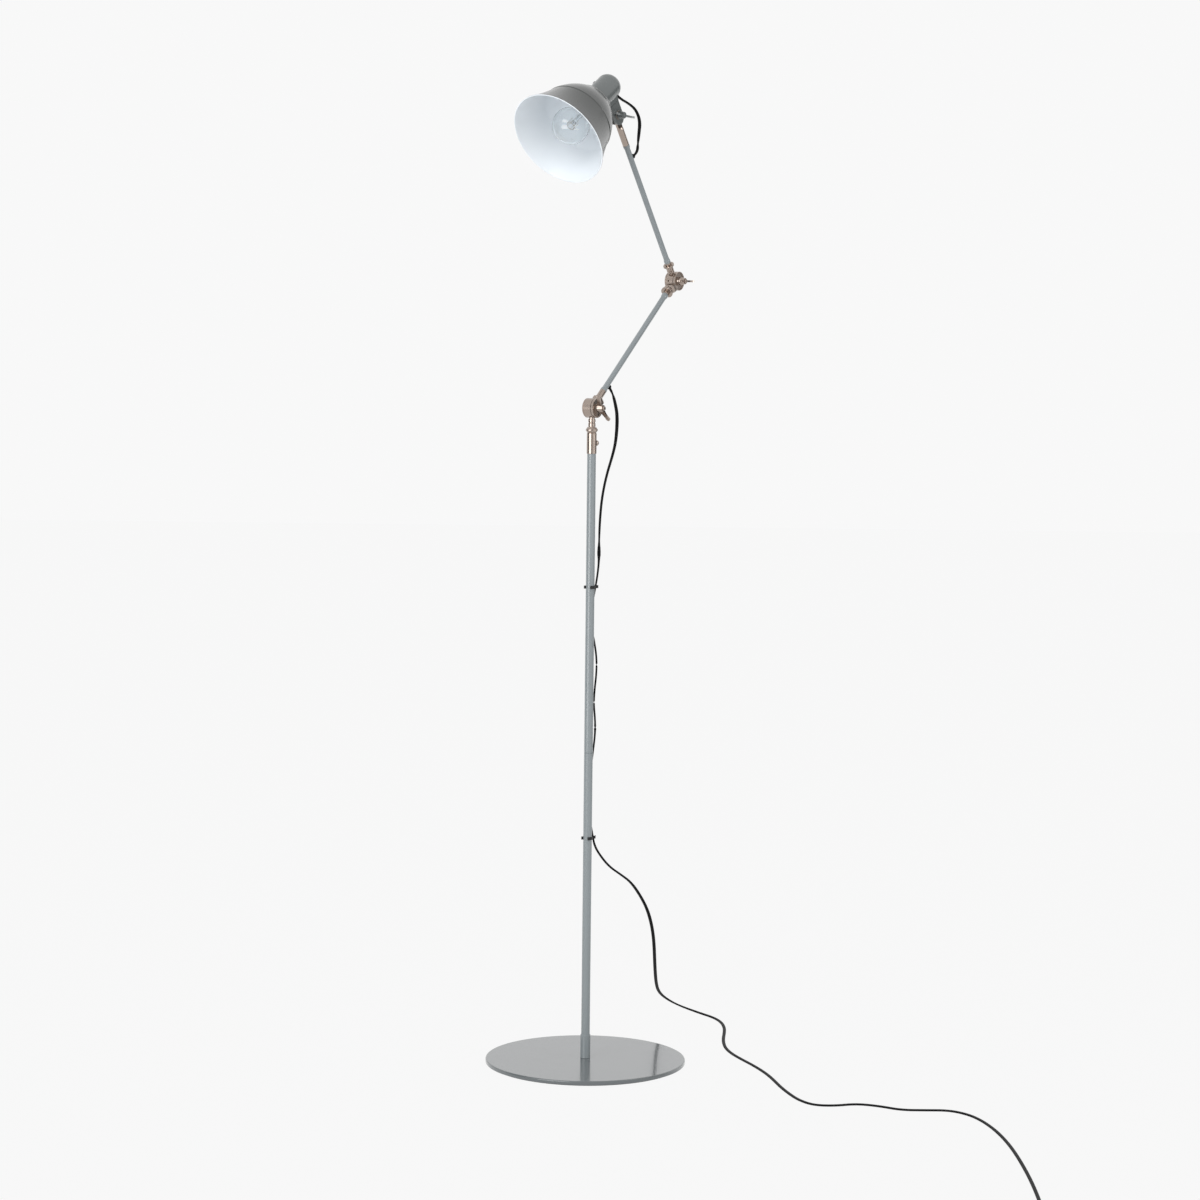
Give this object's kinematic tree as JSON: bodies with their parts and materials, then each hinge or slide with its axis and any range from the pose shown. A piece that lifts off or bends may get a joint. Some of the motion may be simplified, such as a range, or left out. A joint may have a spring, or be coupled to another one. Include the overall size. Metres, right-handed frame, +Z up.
{
  "type": "floor lamp",
  "caption": "Reading floor lamp with a round flat base, straight pole, jointed arms on wing-nut hinges and a tilting bell shade on a socket cap.",
  "frame": {"origin": "centre of the round base, on the floor", "axes": "+Z up along the pole; -Y is the side the picture is taken from, +X is to its right"},
  "size_m": [0.7435, 1.3231, 1.4737],
  "materials": {
    "grey_paint": "gloss",
    "nickel": "satin",
    "steel": "plain",
    "brass": "satin",
    "black_rubber": "matt",
    "black_plastic": "matt",
    "base_felt": "matt",
    "white_plastic": "gloss",
    "clear_glass": "clear"
  },
  "bodies": {
    "stand": {"base_pad": "base_felt", "base_plate": "grey_paint", "base_screw": "steel", "foot_plug": "steel", "foot_collar": "grey_paint", "lower_pole": "grey_paint", "pole_stud": "steel", "upper_pole": "grey_paint", "pole_sleeve": "nickel", "sleeve_screw": "nickel", "swivel_ring": "nickel", "upper_clip": "black_plastic", "lower_clip": "black_plastic", "cord_along_pole": "black_rubber", "cord_on_floor": "black_rubber", "cord_coil": "black_rubber", "cord_to_plug": "black_rubber", "plug_body": "black_rubber", "plug_pin_left": "brass", "plug_pin_right": "brass"},
    "pole_head": {"pole_hinge_drum": "nickel", "pole_hinge_bolt": "nickel", "pole_hinge_friction_washer": "black_plastic", "cord_at_pole_head": "black_rubber"},
    "pole_hinge_nut": {"pole_hinge_wing_nut": "nickel"},
    "lower_arm": {"lower_arm_leaf": "nickel", "pole_hinge_washer": "nickel", "lower_arm_tube": "grey_paint", "lower_arm_grommet": "black_rubber", "elbow_leaf": "nickel", "elbow_washer": "nickel", "cord_from_arm": "black_rubber"},
    "elbow": {"elbow_drum": "nickel", "elbow_bolt": "nickel", "elbow_friction_washer": "black_plastic"},
    "elbow_nut": {"elbow_wing_nut": "nickel"},
    "upper_arm": {"upper_arm_flange": "nickel", "upper_arm_tube": "grey_paint", "upper_arm_grommet": "black_rubber", "upper_arm_tongue": "nickel"},
    "head": {"head_fork": "grey_paint", "fork_pad": "black_plastic", "fork_screw_front": "steel", "fork_screw_rear": "steel", "head_bolt": "nickel", "head_washer": "nickel", "socket_cap": "grey_paint", "head_outlet": "black_rubber", "switch_body": "black_plastic", "shade": "grey_paint", "shade_ring": "white_plastic", "lamp_holder": "white_plastic", "holder_shell": "brass", "bulb_base": "brass", "bulb_glass": "clear_glass", "bulb_stem": "clear_glass", "cord_head_loop": "black_rubber"},
    "head_nut": {"head_wing_nut": "grey_paint"},
    "switch": {"switch_knob": "black_plastic"}
  },
  "joints": [
    {"name": "base_swivel", "type": "hinge", "parent": "stand", "child": "pole_head", "pos_m": [0, 0, 0.9835], "axis": [0, 0, 1], "range_deg": [-170, 170], "deforming": ["cord_at_pole_head"]},
    {"name": "base_tilt", "type": "hinge", "parent": "pole_head", "child": "lower_arm", "pos_m": [0, 0, 0.9835], "axis": [0.848, -0.5299, 0], "range_deg": [-39.2, 140.8], "deforming": ["cord_from_arm"]},
    {"name": "elbow_tilt", "type": "hinge", "parent": "lower_arm", "child": "elbow", "pos_m": [0.1232, 0.19716, 1.17311], "axis": [-0.848, 0.5299, 0], "range_deg": [-48.1, 176.9]},
    {"name": "arm_twist", "type": "hinge", "parent": "elbow", "child": "upper_arm", "pos_m": [0.1232, 0.19716, 1.17311], "axis": [-0.3122, -0.4997, 0.808], "range_deg": [-164, 176]},
    {"name": "head_tilt", "type": "hinge", "parent": "upper_arm", "child": "head", "pos_m": [0.02953, 0.04726, 1.41551], "axis": [0.7986, -0.5986, -0.0616], "range_deg": [-75, 68], "deforming": ["cord_head_loop"]},
    {"name": "pole_hinge_nut_turn", "type": "hinge", "parent": "pole_head", "child": "pole_hinge_nut", "pos_m": [0.01272, -0.00795, 0.9835], "axis": [0.848, -0.5299, 0], "range_deg": [0, 360]},
    {"name": "elbow_nut_turn", "type": "hinge", "parent": "elbow", "child": "elbow_nut", "pos_m": [0.13592, 0.18921, 1.17311], "axis": [0.848, -0.5299, 0], "range_deg": [0, 360]},
    {"name": "head_nut_turn", "type": "hinge", "parent": "head", "child": "head_nut", "pos_m": [0.03911, 0.04007, 1.41477], "axis": [0.7986, -0.5986, -0.0616], "range_deg": [0, 360]},
    {"name": "switch_turn", "type": "hinge", "parent": "head", "child": "switch", "pos_m": [0.0028, 0.04389, 1.45879], "axis": [-0.7986, 0.5986, 0.0616], "range_deg": [0, 90]}
  ]
}
